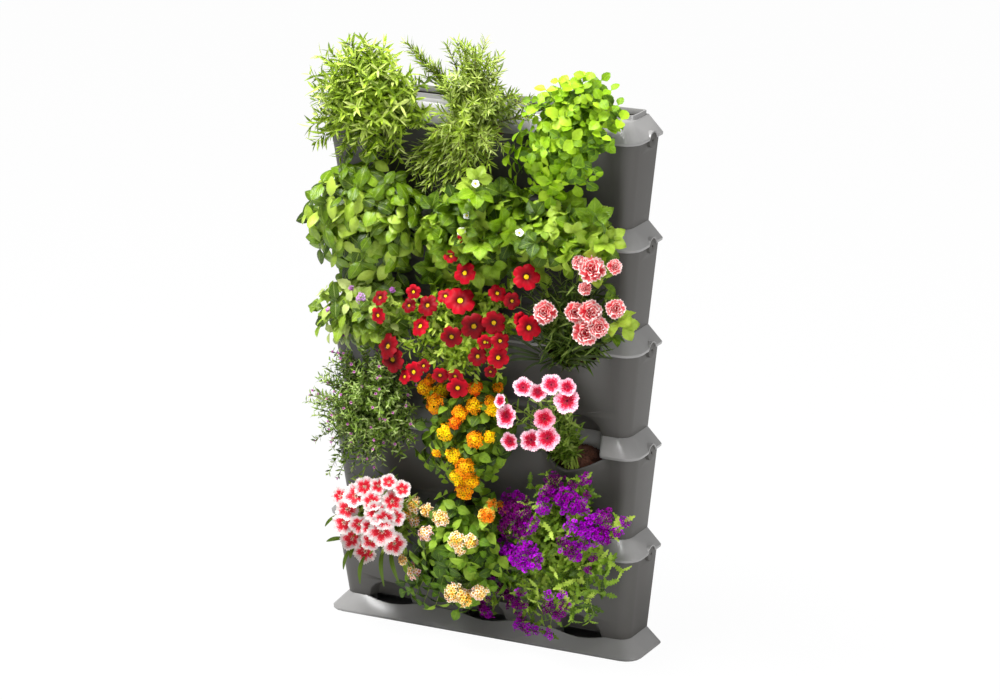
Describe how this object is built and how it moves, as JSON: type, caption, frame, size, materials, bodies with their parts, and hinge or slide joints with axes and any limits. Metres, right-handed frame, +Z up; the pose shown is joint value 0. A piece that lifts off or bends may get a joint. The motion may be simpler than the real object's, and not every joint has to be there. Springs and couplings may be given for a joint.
{
  "type": "vertical planter",
  "caption": "Vertical planter of stacked planting tiers on a drip tray; each tier is a tapered trough under a sloped collar, with planted pockets bulging out of its front.",
  "frame": {"origin": "middle of the drip tray's flat underside, midway between the front lip and the flat back", "axes": "+Z up through the stack; +Y towards the flat back; +X to the right seen from the front, along the width"},
  "size_m": [0.64, 0.2278, 1.1314],
  "materials": {
    "dark_plastic": "matte moulded, anthracite",
    "light_plastic": "matte moulded, anthracite, facing the light",
    "soil": "moist potting soil of bark and peat, about 600 kg/m3",
    "foliage": "leaves and flowers"
  },
  "bodies": {
    "base": {"drip_tray": "light_plastic"},
    "tier_1": {"trough_1": "dark_plastic", "collar_1": "light_plastic", "drain_plate_1": "light_plastic", "soil_1": "soil", "white_dianthus": "foliage", "pink_lantana": "foliage", "purple_verbena": "foliage"},
    "tier_2": {"trough_2": "dark_plastic", "collar_2": "light_plastic", "drain_plate_2": "light_plastic", "soil_2": "soil", "cuphea": "foliage", "orange_lantana": "foliage", "pink_dianthus": "foliage"},
    "tier_3": {"trough_3": "dark_plastic", "collar_3": "light_plastic", "drain_plate_3": "light_plastic", "soil_3": "soil", "purple_herb": "foliage", "red_calibrachoa": "foliage", "double_dianthus": "foliage"},
    "tier_4": {"trough_4": "dark_plastic", "collar_4": "light_plastic", "drain_plate_4": "light_plastic", "soil_4": "soil", "basil": "foliage", "strawberry": "foliage", "leafy_mint": "foliage"},
    "tier_5": {"trough_5": "dark_plastic", "collar_5": "light_plastic", "drain_plate_5": "light_plastic", "soil_5": "soil", "bright_herb": "foliage", "rosemary": "foliage", "oregano": "foliage"}
  },
  "joints": [
    {"name": "lift_tier_1", "type": "slide", "parent": "base", "child": "tier_1", "axis": [0, 0, 1], "range_m": [0, 0.06]},
    {"name": "lift_tier_2", "type": "slide", "parent": "tier_1", "child": "tier_2", "axis": [0, 0, 1], "range_m": [0, 0.06]},
    {"name": "lift_tier_3", "type": "slide", "parent": "tier_2", "child": "tier_3", "axis": [0, 0, 1], "range_m": [0, 0.06]},
    {"name": "lift_tier_4", "type": "slide", "parent": "tier_3", "child": "tier_4", "axis": [0, 0, 1], "range_m": [0, 0.06]},
    {"name": "lift_tier_5", "type": "slide", "parent": "tier_4", "child": "tier_5", "axis": [0, 0, 1], "range_m": [0, 0.06]}
  ]
}
